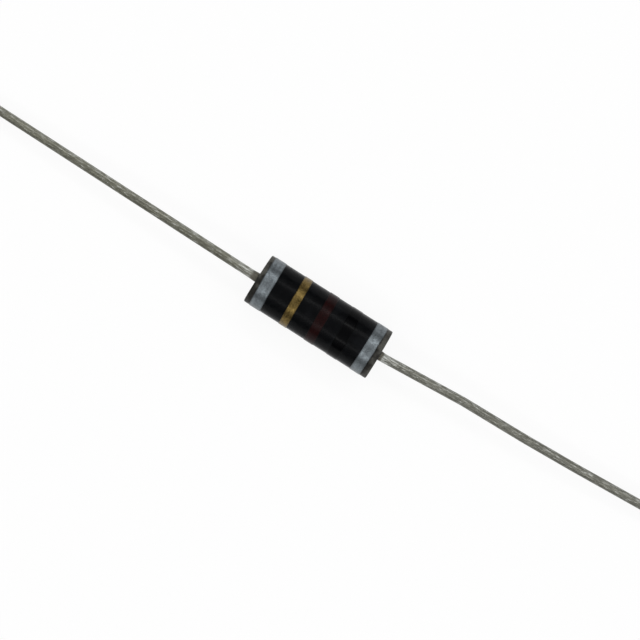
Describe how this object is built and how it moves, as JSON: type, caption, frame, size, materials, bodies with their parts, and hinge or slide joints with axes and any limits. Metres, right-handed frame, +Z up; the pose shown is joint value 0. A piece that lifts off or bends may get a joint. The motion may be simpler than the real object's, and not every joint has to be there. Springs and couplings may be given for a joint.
{
  "type": "fixed inductor",
  "caption": "Moulded axial-lead choke: a black cylinder with printed colour bands over a shielded coil, and a straight tinned wire lead from each end.",
  "frame": {"origin": "middle of the case, on its axis", "axes": "+X along the case towards the narrower silver band; +Z up from the surface that the part lies on"},
  "size_m": [0.0835, 0.0042, 0.004],
  "materials": {
    "moulding": "satin",
    "silver_ink": "satin",
    "gold_ink": "satin",
    "brown_ink": "satin",
    "black_ink": "satin",
    "tinned_wire": "satin",
    "ferrite": "matte",
    "powdered_iron": "matte",
    "enamelled_copper": "gloss",
    "solder": "satin"
  },
  "bodies": {
    "root": {"moulded_case": "moulding", "band_silver_start": "silver_ink", "band_gold": "gold_ink", "band_brown": "brown_ink", "band_black": "black_ink", "band_silver_end": "silver_ink", "lead_left": "tinned_wire", "lead_right": "tinned_wire", "shield_sleeve": "ferrite", "core": "powdered_iron", "winding": "enamelled_copper", "solder_left": "solder", "solder_right": "solder"}
  },
  "joints": []
}
